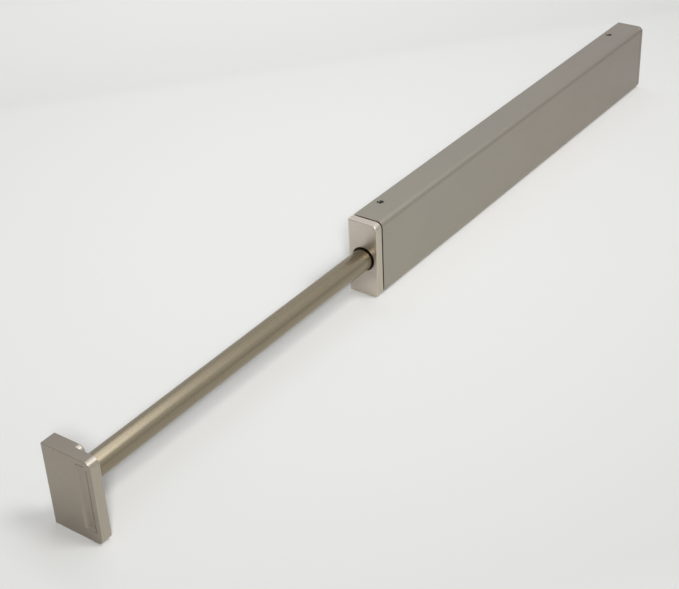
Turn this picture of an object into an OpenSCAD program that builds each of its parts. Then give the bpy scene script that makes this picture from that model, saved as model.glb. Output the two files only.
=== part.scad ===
// Pull-out closet valet rod, side mounted, shown with the rod drawn fully out.
// X runs from the wall into the room, Y along the rod (it draws out towards -Y), Z is up.
// The origin lies on the wall plane, at the centre of the wall screw pattern.

/* [Travel] */
// How far the rod draws out of the housing
travel = 230; // [200:5:300]
// Gap left between the paddle and the bezel when the rod is pushed home
close_gap = 0.3; // [0.2:0.1:1]
// Gap left between a moving piece and its stop at each end of the travel
stop_gap = 0.1; // [0.1:0.05:0.5]

/* [Housing cover] */
// Depth of the housing off the wall
housing_w = 19.5; // [19:0.5:24]
// Height of the housing
housing_h = 46.8; // [44.8:0.5:60]
// Wall of the extruded cover
wall_t = 1.5; // [1.2:0.1:1.8]
// Radius of the two long edges on the room side
corner_r = 3.6; // [2.4:0.2:5]
// Thickness of the bead that the set screws thread into
bead_t = 4; // [3.4:0.2:5]
// Width of that bead, from the wall
bead_w = 9; // [8.6:0.2:10]

/* [Track inside the cover] */
// Height of the track that the carriage runs in
track_h = 18; // [16.5:0.5:19]
// Thickness of the two ribs that bound the track
rib_t = 1.4; // [1:0.1:1.8]
// Thickness of the lips that keep the carriage in the track
lip_t = 1.2; // [0.8:0.1:1.4]
// Reach of each lip across the track
lip_h = 1.6; // [1:0.1:2]
// Clearance between the lips and the mounting plate
track_gap = 1.4; // [0.8:0.1:1.8]
// Bore of the screw ports that the end fixings thread into
port_d = 3; // [2.6:0.1:3.2]
// Wall of the screw ports
port_wall = 1.5; // [1:0.1:1.7]
// Gap between each screw port and the room wall, bridged by a web
port_web = 1; // [0.4:0.1:1.4]
// Distance of each screw port from the outer face of the cover, top or bottom
port_inset = 9; // [8.6:0.1:9.6]

/* [Bezel and rear cap] */
// Thickness of the front bezel
bezel_t = 5.6; // [5:0.2:8]
// Hole in the bezel that the rod passes through
bezel_hole_d = 14; // [13.7:0.1:14.4]
// Wall left at the sides of the pocket in the back of the bezel
bezel_rim = 1.7; // [1.4:0.1:2]
// Wall left above and below that pocket
bezel_rim_z = 3.4; // [2.6:0.1:4]
// Width of the shadow line where the bezel meets the cover
seam_w = 0.4; // [0.2:0.1:0.8]
// Depth of that shadow line
seam_d = 0.5; // [0.2:0.1:1]
// Diameter of the two posts that press the bezel onto the guide
post_d = 3; // [2.4:0.2:3.6]
// How far the posts reach past the back of the bezel
post_reach = 4; // [2:0.5:8]
// Thickness of the rear cap
cap_t = 4; // [3:0.2:6]
// Length of the rear cap's spigot inside the track
spigot_l = 5; // [4:0.5:10]
// Rounding of the outer edges of the bezel, rear cap and paddle
edge_r = 0.7; // [0.3:0.1:1.2]

/* [Rod] */
// Outside diameter of the rod
rod_d = 12.7; // [12:0.1:12.9]
// Wall of the rod tube
rod_wall = 1; // [0.8:0.1:2]
// Length of the threaded plug in the front end of the rod
front_plug_l = 20; // [18:1:40]
// Length of the threaded plug in the rear end of the rod
rear_plug_l = 24; // [20:1:38]

/* [Guides and stops] */
// Length of the front guide inside the cover
guide_l = 42; // [30:1:60]
// Thickness of the guide's flange, behind the bezel
flange_t = 2; // [1.6:0.1:2.4]
// How far the nose stays back from the bezel's face
nose_back = 1.2; // [0.6:0.1:2]
// Length of the friction sleeve
sleeve_l = 10; // [6:1:20]
// Wall of the friction sleeve
sleeve_t = 0.5; // [0.3:0.05:0.6]
// Distance of the sleeve from the rear end of the guide
sleeve_inset = 8; // [4:1:12]
// Thickness of the rubber pad that stops the rod when drawn out
pad_t = 3; // [2:0.5:6]
// Length of the carriage that grips the rod
carriage_grip = 40; // [26:1:60]
// Thickness of the web that closes the carriage's bore
web_t = 4; // [3:0.5:4.5]
// How far the head of the carriage screw stays inside the carriage
head_sunk = 2.2; // [0.5:0.1:6]
// Clearance between the mounting plate and what sits or runs behind it
neck_gap = 0.3; // [0.2:0.1:0.6]
// Length of the rubber bumper at the rear
bumper_l = 6.4; // [4:0.2:12]
// Diameter of the rear bumper
bumper_d = 13; // [12.6:0.2:14]
// Diameter of the bumper's stem
stem_d = 4; // [3:0.5:6]
// Length of the bumper's stem
stem_l = 4; // [2:0.5:4.5]

/* [Paddle] */
// Distance of the paddle's free edge from the wall
paddle_w = 30.8; // [27:0.2:40]
// Gap between the paddle and the wall that it slides along
paddle_gap = 0.5; // [0.3:0.1:1]
// Thickness of the front plate
paddle_t = 6; // [5.4:0.2:10]
// Thickness of the spacer between the plate and the rod
spacer_t = 3.1; // [2.9:0.1:6]
// Depth of the rod's seat in the spacer
seat_d = 1.5; // [0.8:0.1:1.8]
// Width of the finger groove
groove_w = 7.2; // [5:0.2:9]
// Length of the finger groove
groove_l = 38.6; // [24:0.2:42]
// Depth of the finger groove
groove_d = 1.2; // [0.6:0.1:1.7]
// Width of the groove's rounded wall
groove_wall = 2.2; // [1.4:0.1:2.4]
// Rim left between the groove and the plate's free edge
groove_rim = 2.9; // [1:0.1:4]
// Height of the groove's middle above the middle of the plate
groove_lift = 1.2; // [-2:0.1:2]

/* [Mounting plate] */
// Thickness of the mounting plate
plate_t = 2; // [1.8:0.1:2.2]
// Width of the plate's two flanges, from the wall
flange_w = 7.2; // [7:0.1:7.8]
// Distance of each end of the plate from the end of the cover
plate_inset = 2; // [1:0.5:10]
// Clearance of the plate's flanges inside the cover
plate_gap = 0.2; // [0.1:0.05:0.3]
// Width of the toe on the lower flange that hooks into the cover
toe_w = 1.2; // [0.8:0.1:1.5]
// Height of the toe
toe_h = 0.9; // [0.5:0.1:1.2]
// Distance between the two outer wall screws
outer_span = 256; // [224:32:288]
// Distance between the two inner wall screws
inner_span = 128; // [64:32:192]
// Wall screw hole
wall_hole_d = 4.6; // [4:0.1:5]
// Countersink of the wall screw hole
wall_sink_d = 7.6; // [7:0.1:8]

/* [Fasteners] */
// Set screws in the top of the cover
set_d = 4; // [3:0.5:4]
// Distance of the set screws from the wall
set_x = 4.8; // [4.6:0.1:5.2]
// Distance of each set screw from the end of the housing
set_inset = 26; // [20:1:40]
// How far the set screws stay below the top face
set_sunk = 0.6; // [0.3:0.1:1.2]
// Depth of the dimple in the plate's flange that takes the point of each set screw
dimple_h = 0.6; // [0.4:0.1:1.2]
// Head diameter of the screws that hold the guide and the rear cap
end_head_d = 5.8; // [5:0.1:6]
// Length of those screws
end_screw_l = 13; // [9:1:20]
// Thread of the two screws that clamp the rod's ends
rod_screw_d = 4.2; // [3:0.1:4.6]
// Head diameter of the two rod screws
rod_head_d = 8.4; // [7:0.2:8.6]
// Head height of the two rod screws
rod_head_h = 2.8; // [2:0.1:3]
// Length of the two rod screws
rod_screw_l = 16; // [12:1:17]
// Thickness of the washer in the carriage
washer_t = 1; // [0.6:0.1:1.4]
// Outside diameter of the washer in the carriage
washer_d = 10; // [9:0.2:10.4]
// Thread of the two screws that hold the front plate
plate_screw_d = 2.9; // [2.5:0.1:3.5]
// Head diameter of those screws
plate_head_d = 5.6; // [5:0.1:6.4]
// How far those screws reach into the front plate
plate_screw_bite = 3.9; // [2.5:0.1:4.4]
// Distance between those two screws
plate_screw_span = 31; // [24:1:36]

/* [Fits] */
// Radial clearance of the rod in its guide
run_gap = 0.05; // [0.02:0.01:0.1]
// Clearance of the carriage in its track
slide_gap = 0.2; // [0.15:0.05:0.3]
// Clearance of a fixed piece in its seat
seat_gap = 0.1; // [0.05:0.05:0.15]
// Radial clearance of a screw or plug in its thread or bore
thread_gap = 0.05; // [0.02:0.01:0.08]
// Extra diameter of a clearance hole
hole_gap = 0.6; // [0.4:0.1:0.8]

/* [Hidden] */
$fn = 64;
cut = 1;          // how far a cutting shape runs past the face it opens
skin = 0.01;      // thickness of one slice of a rounded slab
edge_steps = 4;   // slices in each rounded edge
slab_fn = 32;     // segments of a rounded slab's corner circles
cross_w = 0.6;    // span of a cross recess, as a share of its screw's head
cross_h = 0.7;    // its depth, as a share of the head's height
cross_arm = 0.25; // width of one arm of the cross, as a share of its span
socket_w = 0.56;  // width of a hexagon socket over its corners, as a share of the set screw
socket_h = 0.6;   // depth of a rod screw's socket, as a share of its head's height
point_w = 0.6;    // width of a set screw's point, as a share of the screw

// Stations along the rod
carriage_l = carriage_grip + web_t + washer_t + rod_head_h + head_sunk;
cover_l = guide_l + stop_gap + pad_t + carriage_l + travel + stop_gap + bumper_l + spigot_l;
housing_l = bezel_t + cover_l + cap_t;
bezel_y = -housing_l / 2;
cover_y = bezel_y + bezel_t;
cap_y = cover_y + cover_l;
guide_end_y = cover_y + guide_l;
pad_y = guide_end_y + stop_gap;
carriage_y = pad_y + pad_t;
rod_end_y = carriage_y + carriage_grip;
spacer_y = bezel_y - close_gap - travel - spacer_t;
paddle_y = spacer_y - paddle_t;
rod_y = spacer_y + spacer_t - seat_d;
rod_x = housing_w / 2;
set_y = housing_l / 2 - set_inset;

// The cover's section
half_h = housing_h / 2;
room_x = housing_w - wall_t;
bead_z = half_h - bead_t;
lip_x = plate_t + track_gap;
slot_h = track_h - 2 * lip_h;
port_z = half_h - port_inset;
port_x = room_x - port_d / 2 - port_wall - port_web;
plate_z = bead_z - plate_gap;
neck_x = plate_t + neck_gap;
rod_r = rod_d / 2;
bore_r = rod_r + run_gap;
rod_hole_r = (rod_screw_d + hole_gap) / 2;

// A flat profile, drawn as X and Z, drawn out along Y from y0
module along_y(y0, length) {
    translate([0, y0 + length, 0]) rotate([90, 0, 0]) linear_extrude(length) children();
}

// A cylinder or cone along Y, from y0 towards +Y
module round_y(x, y0, z, length, r, end_r) {
    translate([x, y0, z]) rotate([-90, 0, 0]) cylinder(h = length, r1 = r, r2 = end_r);
}

// The housing's outline: square on the wall side, rounded on the room side
module outline(w, h, r) {
    translate([0, -h / 2 + r]) square([w, h - 2 * r]);
    translate([0, -h / 2]) square([w - r, h]);
    for (side = [-1, 1]) translate([w - r, side * (h / 2 - r)]) circle(r);
}

// One slice of a rounded slab from x0 to x1, drawn in by inset on every side
module slice(x0, x1, y, inset) {
    along_y(y, skin) translate([x0 + inset, 0])
        outline(x1 - x0 - 2 * inset, housing_h - 2 * inset, corner_r - inset, $fn = slab_fn);
}

// A slab of the housing's height with rounded edges; front and back say which edges are rounded
module slab(x0, x1, y0, t, front, back) {
    hull() {
        for (i = [0:edge_steps]) {
            inset = edge_r * (1 - sin(90 * i / edge_steps));
            depth = edge_r * (1 - cos(90 * i / edge_steps));
            slice(x0, x1, front ? y0 + depth : y0, front ? inset : 0);
            slice(x0, x1, back ? y0 + t - skin - depth : y0 + t - skin, back ? inset : 0);
        }
    }
}

// The T-shaped section of the pieces that sit or run in the track
module track_section(gap) {
    translate([lip_x + lip_t + gap, -track_h / 2 + gap])
        square([room_x - lip_x - lip_t - 2 * gap, track_h - 2 * gap]);
    translate([neck_x, -slot_h / 2 + gap])
        square([rod_x - neck_x, slot_h - 2 * gap]);
}

// A cross recess, cut into a screw head that faces -Y
module cross_recess(size, depth) {
    for (turn = [0, 90]) rotate([0, turn, 0])
        translate([-size / 2, -cut, -size * cross_arm / 2]) cube([size, depth + cut, size * cross_arm]);
}

// A countersunk screw along +Y, with its head's face at y = 0
module countersunk_screw(head_d, thread_d, length) {
    head_h = (head_d - thread_d) / 2;
    difference() {
        union() {
            round_y(0, 0, 0, head_h, head_d / 2, thread_d / 2);
            round_y(0, head_h, 0, length - head_h, thread_d / 2, thread_d / 2);
        }
        cross_recess(head_d * cross_w, head_h * cross_h);
    }
}

// The hole for that screw: a countersink with a clearance hole behind it
module countersunk_hole(head_d, hole_d, length) {
    sink_h = (head_d - hole_d) / 2 + seat_gap;
    round_y(0, -cut, 0, cut + skin, head_d / 2 + seat_gap, head_d / 2 + seat_gap);
    round_y(0, 0, 0, sink_h, head_d / 2 + seat_gap, hole_d / 2);
    round_y(0, 0, 0, length, hole_d / 2, hole_d / 2);
}

// A cheese head screw along +Y: its head ends at y = 0 and its thread runs on from there
module rod_screw() {
    difference() {
        union() {
            round_y(0, -rod_head_h, 0, rod_head_h, rod_head_d / 2, rod_head_d / 2);
            round_y(0, 0, 0, rod_screw_l, rod_screw_d / 2, rod_screw_d / 2);
        }
        round_y(0, -rod_head_h - cut, 0, cut + rod_head_h * socket_h,
            rod_screw_d / 2, rod_screw_d / 2, $fn = 6);
    }
}

// The two places of the end screws, in the cover's screw ports
module at_ports(y) {
    for (side = [-1, 1]) translate([port_x, y, side * port_z]) children();
}

// The two places of the set screws, on the cover's top face
module at_set_screws() {
    for (end = [-1, 1]) translate([set_x, end * set_y, half_h]) children();
}

module cover_section() {
    difference() {
        outline(housing_w, housing_h, corner_r);
        translate([-cut, 0]) outline(room_x + cut, housing_h - 2 * wall_t, corner_r - wall_t);
    }
    // Beads along the wall edges; the lower one has the groove that the plate's toe hooks into
    translate([0, bead_z]) square([bead_w, bead_t - wall_t / 2]);
    difference() {
        translate([0, -half_h + wall_t / 2]) square([bead_w, bead_t - wall_t / 2]);
        translate([flange_w - toe_w - plate_gap, -plate_z - toe_h - plate_gap])
            square([toe_w + 2 * plate_gap, toe_h + bead_t]);
    }
    for (side = [-1, 1]) {
        // Rib and lip of the track
        translate([lip_x, side > 0 ? track_h / 2 : -track_h / 2 - rib_t])
            square([room_x + wall_t / 2 - lip_x, rib_t]);
        translate([lip_x, side > 0 ? slot_h / 2 : -track_h / 2 - rib_t / 2])
            square([lip_t, lip_h + rib_t / 2]);
        // Screw port and the web that joins it to the room wall
        difference() {
            union() {
                translate([port_x, side * port_z]) circle(port_d / 2 + port_wall);
                translate([port_x, side * port_z - port_wall])
                    square([room_x + wall_t / 2 - port_x, 2 * port_wall]);
            }
            translate([port_x, side * port_z]) circle(port_d / 2);
        }
    }
}

module housing_cover() {
    color([0.58, 0.55, 0.50]) difference() {
        along_y(cover_y, cover_l) cover_section();
        at_set_screws() translate([0, 0, -bead_t - cut]) cylinder(h = bead_t + 2 * cut, d = set_d);
    }
}

module mounting_plate() {
    plate_l = cover_l - 2 * plate_inset;
    color([0.70, 0.70, 0.68]) difference() {
        along_y(cover_y + plate_inset, plate_l) {
            translate([0, -plate_z]) square([plate_t, 2 * plate_z]);
            for (side = [-1, 1]) translate([0, side > 0 ? plate_z - plate_t : -plate_z])
                square([flange_w, plate_t]);
            translate([flange_w - toe_w, -plate_z - toe_h]) square([toe_w, toe_h + plate_t]);
        }
        for (span = [outer_span, inner_span], end = [-1, 1]) translate([0, end * span / 2, 0])
            rotate([0, 90, 0]) {
                translate([0, 0, -cut]) cylinder(h = plate_t + 2 * cut, d = wall_hole_d);
                translate([0, 0, plate_t - (wall_sink_d - wall_hole_d) / 2])
                    cylinder(h = (wall_sink_d - wall_hole_d) / 2, d1 = wall_hole_d, d2 = wall_sink_d);
                translate([0, 0, plate_t - skin]) cylinder(h = cut, d = wall_sink_d);
            }
        // Dimples that the points of the set screws drop into
        at_set_screws() translate([0, 0, plate_z - half_h - dimple_h])
            cylinder(h = plate_t, d = set_d - 2 * seat_gap);
    }
}

module cover_set_screws() {
    body_d = set_d - 2 * thread_gap;
    point_d = set_d * point_w;
    point_h = dimple_h - seat_gap;
    flange_z = plate_z - half_h;
    color([0.45, 0.44, 0.42]) at_set_screws() difference() {
        union() {
            translate([0, 0, flange_z]) cylinder(h = -flange_z - set_sunk, d = body_d);
            translate([0, 0, flange_z - point_h]) cylinder(h = point_h + skin, d = point_d);
        }
        translate([0, 0, -set_sunk - set_d / 2]) cylinder(h = set_d, d = set_d * socket_w, $fn = 6);
    }
}

module front_bezel() {
    pocket_d = flange_t + seat_gap;
    color([0.72, 0.68, 0.62]) {
        difference() {
            slab(0, housing_w, bezel_y, bezel_t, true, false);
            // Pocket over the guide's flange, and the hole for the rod
            translate([bezel_rim, cover_y - pocket_d, -half_h + bezel_rim_z])
                cube([housing_w - 2 * bezel_rim, pocket_d + cut, housing_h - 2 * bezel_rim_z]);
            round_y(rod_x, bezel_y - cut, 0, bezel_t + cut, bezel_hole_d / 2, bezel_hole_d / 2);
            // Shadow line along the back edge
            along_y(cover_y - seam_w, seam_w + cut) difference() {
                translate([-cut, -half_h - cut]) square([housing_w + 2 * cut, housing_h + 2 * cut]);
                translate([seam_d, 0])
                    outline(housing_w - 2 * seam_d, housing_h - 2 * seam_d, corner_r - seam_d);
            }
        }
        at_posts(cover_y - pocket_d - skin)
            round_y(0, 0, 0, pocket_d + post_reach + skin, post_d / 2, post_d / 2);
    }
}

// The two places of the posts that hold the bezel on the guide's flange
module at_posts(y) {
    for (side = [-1, 1]) translate([flange_w - post_d / 2, y, side * port_z]) children();
}

module front_guide() {
    flange_y = cover_y - flange_t;
    nose_y = bezel_y + nose_back;
    sleeve_y = guide_end_y - sleeve_inset - sleeve_l;
    nose_r = bezel_hole_d / 2 - seat_gap;
    rim = bezel_rim + seat_gap;
    rim_z = bezel_rim_z + seat_gap;
    color([0.12, 0.12, 0.12]) difference() {
        union() {
            along_y(cover_y, guide_l) track_section(seat_gap);
            along_y(flange_y, flange_t) translate([rim, rim_z - half_h])
                square([housing_w - 2 * rim, housing_h - 2 * rim_z]);
            round_y(rod_x, nose_y, 0, flange_y + skin - nose_y, nose_r, nose_r);
        }
        round_y(rod_x, nose_y - cut, 0, guide_end_y - nose_y + 2 * cut, bore_r, bore_r);
        round_y(rod_x, sleeve_y, 0, sleeve_l, bore_r + sleeve_t, bore_r + sleeve_t);
        at_ports(flange_y) countersunk_hole(end_head_d, port_d + hole_gap, flange_t + cut);
        at_posts(flange_y - cut)
            round_y(0, 0, 0, flange_t + 2 * cut, post_d / 2 + thread_gap, post_d / 2 + thread_gap);
    }
}

module front_guide_screws() {
    color([0.62, 0.62, 0.60]) at_ports(cover_y - flange_t)
        countersunk_screw(end_head_d, port_d - 2 * thread_gap, end_screw_l);
}

module friction_sleeve() {
    sleeve_y = guide_end_y - sleeve_inset - sleeve_l;
    outer_r = bore_r + sleeve_t - thread_gap;
    color([0.30, 0.30, 0.32]) difference() {
        round_y(rod_x, sleeve_y + thread_gap, 0, sleeve_l - 2 * thread_gap, outer_r, outer_r);
        round_y(rod_x, sleeve_y - cut, 0, sleeve_l + 2 * cut, bore_r, bore_r);
    }
}

module rear_cap() {
    color([0.60, 0.57, 0.52]) difference() {
        union() {
            slab(0, housing_w, cap_y, cap_t, false, true);
            along_y(cap_y - spigot_l, spigot_l + skin) track_section(seat_gap);
        }
        at_ports(cap_y + cap_t) rotate([0, 0, 180])
            countersunk_hole(end_head_d, port_d + hole_gap, cap_t + cut);
        round_y(rod_x, cap_y - spigot_l - cut, 0, stem_l + cut + seat_gap, stem_d / 2, stem_d / 2);
    }
}

module rear_cap_screws() {
    color([0.62, 0.62, 0.60]) at_ports(cap_y + cap_t) rotate([0, 0, 180])
        countersunk_screw(end_head_d, port_d - 2 * thread_gap, end_screw_l);
}

module rear_bumper() {
    bumper_y = cap_y - spigot_l - bumper_l;
    stem_r = stem_d / 2 - thread_gap;
    color([0.10, 0.10, 0.10]) {
        round_y(rod_x, bumper_y, 0, bumper_l, bumper_d / 2, bumper_d / 2);
        round_y(rod_x, bumper_y + bumper_l - skin, 0, stem_l + skin, stem_r, stem_r);
    }
}

module rod_tube() {
    inner_r = rod_r - rod_wall;
    color([0.66, 0.62, 0.54]) difference() {
        round_y(rod_x, rod_y, 0, rod_end_y - rod_y, rod_r, rod_r);
        round_y(rod_x, rod_y - cut, 0, rod_end_y - rod_y + 2 * cut, inner_r, inner_r);
    }
}

// A plug pressed into one end of the rod, tapped right through for the rod screw
module rod_plug(y0, length) {
    plug_r = rod_r - rod_wall - thread_gap;
    thread_r = rod_screw_d / 2 + thread_gap;
    difference() {
        round_y(rod_x, y0, 0, length, plug_r, plug_r);
        round_y(rod_x, y0 - cut, 0, length + 2 * cut, thread_r, thread_r);
    }
}

module rod_front_plug() {
    color([0.75, 0.75, 0.73]) rod_plug(rod_y, front_plug_l);
}

module rod_rear_plug() {
    color([0.75, 0.75, 0.73]) rod_plug(rod_end_y - rear_plug_l, rear_plug_l);
}

// The two places of the screws that hold the front plate, on the spacer's back face
module at_plate_screws() {
    for (side = [-1, 1]) translate([rod_x, spacer_y + spacer_t, side * plate_screw_span / 2]) children();
}

// The finger groove: a flat floor with a rounded wall all round
module finger_groove() {
    arc_r = (groove_wall * groove_wall + groove_d * groove_d) / (2 * groove_d);
    floor_w = groove_w - 2 * groove_wall;
    floor_l = groove_l - 2 * groove_wall;
    groove_x = paddle_w - groove_rim - groove_w / 2;
    translate([groove_x, paddle_y + groove_d - arc_r, groove_lift]) {
        translate([-floor_w / 2, 0, -floor_l / 2]) cube([floor_w, arc_r, floor_l]);
        for (side = [-1, 1]) {
            translate([side * floor_w / 2, 0, -floor_l / 2]) cylinder(h = floor_l, r = arc_r);
            translate([-floor_w / 2, 0, side * floor_l / 2]) rotate([0, 90, 0])
                cylinder(h = floor_w, r = arc_r);
            for (end = [-1, 1]) translate([side * floor_w / 2, 0, end * floor_l / 2]) sphere(arc_r);
        }
    }
}

module paddle_plate() {
    pocket_r = rod_head_d / 2 + seat_gap;
    thread_r = plate_screw_d / 2 + thread_gap;
    color([0.55, 0.52, 0.47]) difference() {
        slab(paddle_gap, paddle_w, paddle_y, paddle_t, true, true);
        finger_groove();
        // Pocket over the head of the rod screw, and the blind holes of the plate screws
        round_y(rod_x, spacer_y - rod_head_h - seat_gap, 0, rod_head_h + seat_gap + cut, pocket_r, pocket_r);
        at_plate_screws() round_y(0, -spacer_t - plate_screw_bite - seat_gap, 0,
            plate_screw_bite + seat_gap + cut, thread_r, thread_r);
    }
}

module paddle_spacer() {
    seat_r = rod_r + thread_gap;
    color([0.68, 0.64, 0.58]) difference() {
        slab(paddle_gap, housing_w, spacer_y, spacer_t, false, true);
        round_y(rod_x, rod_y, 0, seat_d + cut, seat_r, seat_r);
        round_y(rod_x, spacer_y - cut, 0, spacer_t + 2 * cut, rod_hole_r, rod_hole_r);
        at_plate_screws() rotate([0, 0, 180])
            countersunk_hole(plate_head_d, plate_screw_d + hole_gap, spacer_t + cut);
    }
}

module paddle_rod_screw() {
    color([0.62, 0.62, 0.60]) translate([rod_x, spacer_y, 0]) rod_screw();
}

module paddle_plate_screws() {
    color([0.62, 0.62, 0.60]) at_plate_screws() rotate([0, 0, 180])
        countersunk_screw(plate_head_d, plate_screw_d, spacer_t + plate_screw_bite);
}

module carriage() {
    head_r = washer_d / 2 + seat_gap;
    grip_r = rod_r + thread_gap;
    color([0.14, 0.14, 0.14]) difference() {
        along_y(carriage_y, carriage_l) track_section(slide_gap);
        round_y(rod_x, carriage_y - cut, 0, carriage_grip + cut, grip_r, grip_r);
        round_y(rod_x, carriage_y, 0, carriage_l, rod_hole_r, rod_hole_r);
        round_y(rod_x, rod_end_y + web_t, 0, carriage_l, head_r, head_r);
    }
}

module carriage_washer() {
    color([0.70, 0.70, 0.68]) difference() {
        round_y(rod_x, rod_end_y + web_t, 0, washer_t, washer_d / 2, washer_d / 2);
        round_y(rod_x, rod_end_y + web_t - cut, 0, washer_t + 2 * cut, rod_hole_r, rod_hole_r);
    }
}

module carriage_screw() {
    color([0.62, 0.62, 0.60]) translate([rod_x, rod_end_y + web_t + washer_t, 0])
        rotate([0, 0, 180]) rod_screw();
}

module stop_pad() {
    ring_r = rod_r + thread_gap;
    color([0.10, 0.10, 0.10]) difference() {
        along_y(pad_y, pad_t) track_section(slide_gap);
        round_y(rod_x, pad_y - cut, 0, pad_t + 2 * cut, ring_r, ring_r);
    }
}

housing_cover();
mounting_plate();
cover_set_screws();
front_bezel();
front_guide();
front_guide_screws();
friction_sleeve();
rear_cap();
rear_cap_screws();
rear_bumper();
rod_tube();
rod_front_plug();
rod_rear_plug();
paddle_plate();
paddle_spacer();
paddle_rod_screw();
paddle_plate_screws();
carriage();
carriage_screw();
carriage_washer();
stop_pad();
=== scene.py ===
"""Closet valet rod: the visible pieces, their finishes and the studio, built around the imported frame."""
import math

import bmesh
import bpy
from mathutils import Matrix, Vector
from mathutils.geometry import tessellate_polygon


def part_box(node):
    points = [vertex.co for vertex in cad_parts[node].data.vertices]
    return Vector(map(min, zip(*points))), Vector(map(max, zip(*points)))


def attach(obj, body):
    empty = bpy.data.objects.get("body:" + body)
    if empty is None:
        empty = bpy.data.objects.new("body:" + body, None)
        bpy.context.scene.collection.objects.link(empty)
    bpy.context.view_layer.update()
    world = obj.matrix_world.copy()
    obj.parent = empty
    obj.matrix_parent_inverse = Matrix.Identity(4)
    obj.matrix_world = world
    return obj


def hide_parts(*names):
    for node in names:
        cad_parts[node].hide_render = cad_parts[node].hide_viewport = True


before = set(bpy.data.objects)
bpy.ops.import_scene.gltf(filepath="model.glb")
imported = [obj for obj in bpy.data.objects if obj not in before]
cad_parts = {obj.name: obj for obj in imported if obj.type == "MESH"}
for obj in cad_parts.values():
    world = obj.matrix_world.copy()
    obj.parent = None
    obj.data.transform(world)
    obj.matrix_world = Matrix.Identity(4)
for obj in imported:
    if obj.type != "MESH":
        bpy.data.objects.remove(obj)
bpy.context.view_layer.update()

MM = 0.001


def box_mm(node):
    """Lowest and highest corner of a CAD node, in millimetres."""
    low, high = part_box(node)
    return low / MM, high / MM


# Sizes in millimetres, in the frame of the CAD model: X off the wall, Y along the rod, Z up
COVER_LOW, COVER_HIGH = box_mm("housing_cover")
CAP_HIGH = box_mm("rear_cap")[1]
PLATE_LOW, PLATE_HIGH = box_mm("paddle_plate")
SPACER_LOW, SPACER_HIGH = box_mm("paddle_spacer")
ROD_LOW, ROD_HIGH = box_mm("rod_tube")
CHANNEL_LOW, CHANNEL_HIGH = box_mm("mounting_plate")
HOUSING_W = COVER_HIGH.x
HALF_H = COVER_HIGH.z
BEZEL_Y = box_mm("front_bezel")[0].y
COVER_Y = COVER_LOW.y
CAP_Y = COVER_HIGH.y
END_Y = CAP_HIGH.y
FLOOR_Z = -23.45

# The housing's outline, and the radii of edges
CORNER_R = 3.6
WALL_CORNER_R = 0.45
EDGE_R = 0.7
JOINT_R = 0.05
PADDLE_EDGE_R = 0.3
LEAST_R = 0.02

# The rod
ROD_X = HOUSING_W / 2
ROD_R = 6.35
ROD_WALL = 1.0

# The cover's section: walls, beads, the carriage's track, screw ports and the slot for the plate's toe
WALL_T = 1.5
ROOM_X = HOUSING_W - WALL_T
BEAD_Z = 19.4
BEAD_W = 9.0
TRACK_Z = 9.0
RIB_T = 1.4
LIP_X = 3.4
LIP_T = 1.2
LIP_H = 1.6
NECK_X = 2.3
PORT = (14.0, 14.4)
PORT_R = 1.5
PORT_OUTER_R = 3.0
PORT_WEB_Z = 1.5
HOOK_X = (5.8, 7.4)
HOOK_Z = 20.3

# The bezel's hole, the gaps on both sides of its joint with the cover, and the guide's flange
HOLE_R = 7.25
SEAM_FRONT = 0.5
SEAM_BACK = 0.65
GUIDE_FLANGE_T = 2.0

# The set screws
SET_X = 4.8
SET_Y = 147.1
SET_R = 2.0
SET_TOP_Z = 22.8

# The mounting plate: a channel with a toe and four wall screw holes
CHANNEL_T = 2.0
CHANNEL_TOP = 19.2
TOE_X = 6.0
TOE_Z = -20.1
WALL_HOLE_Y = (-128.0, -64.0, 64.0, 128.0)
WALL_HOLE_R = 2.3
WALL_SINK_R = 3.8

# The rear cap's screws
END_HEAD_R = 2.9
END_SHANK_R = 1.45
END_SCREW_L = 13.0
END_SINK_R = 3.0
CAP_HOLE_R = 1.8

# The paddle's screws and the rod's seat in its back
PADDLE_SCREW_Z = 15.5
PLATE_HEAD_R = 2.8
PLATE_SHANK_R = 1.45
PLATE_SCREW_L = 7.0
PLATE_HOLE_R = 1.5
SPACER_HOLE_R = 1.75
SPACER_SINK_R = 2.9
ROD_SEAT_R = 6.4
ROD_SEAT_D = 1.5
ROD_HOLE_R = 2.4
POCKET_R = 4.3
POCKET_D = 2.9
BLIND_D = 4.0

# The finger groove
GROOVE_X = 24.3
GROOVE_Z = 1.2
GROOVE_W = 7.2
GROOVE_L = 38.6
GROOVE_D = 1.2
GROOVE_WALL = 2.2

# Steps round a circle, the angle from which an edge is sharp, and the distance of doubled points in metres
ROUND_STEPS = 48
HOLE_STEPS = 40
PORT_STEPS = 30
STEM_STEPS = 32
ROD_STEPS = 128
SHARP_ANGLE = 50
SCREW_SHARP_ANGLE = 35
MERGE_REACH = 1e-7


# Flat outlines, as lists of (x, z)

def arc(cx, cz, r, start, end, steps):
    """Points of an arc, with its angles in degrees."""
    turns = [math.radians(start + (end - start) * i / steps) for i in range(steps + 1)]
    return [(cx + r * math.cos(a), cz + r * math.sin(a)) for a in turns]


def circle(cx, cz, r, steps=64):
    """Points all the way round."""
    return arc(cx, cz, r, 0, 360, steps)[:-1]


def rounded(x0, x1, z0, z1, radii, inset=0.0, steps=10):
    """A rounded rectangle drawn in by inset. radii are for the corners +X+Z, -X+Z, -X-Z and +X-Z."""
    x0, x1, z0, z1 = x0 + inset, x1 - inset, z0 + inset, z1 - inset
    corners = [(x1, z1, -1, -1), (x0, z1, 1, -1), (x0, z0, 1, 1), (x1, z0, -1, 1)]
    points = []
    for i, (x, z, sx, sz) in enumerate(corners):
        r = max(radii[i] - inset, LEAST_R)
        points += arc(x + sx * r, z + sz * r, r, 90 * i, 90 * i + 90, steps)
    return points


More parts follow.
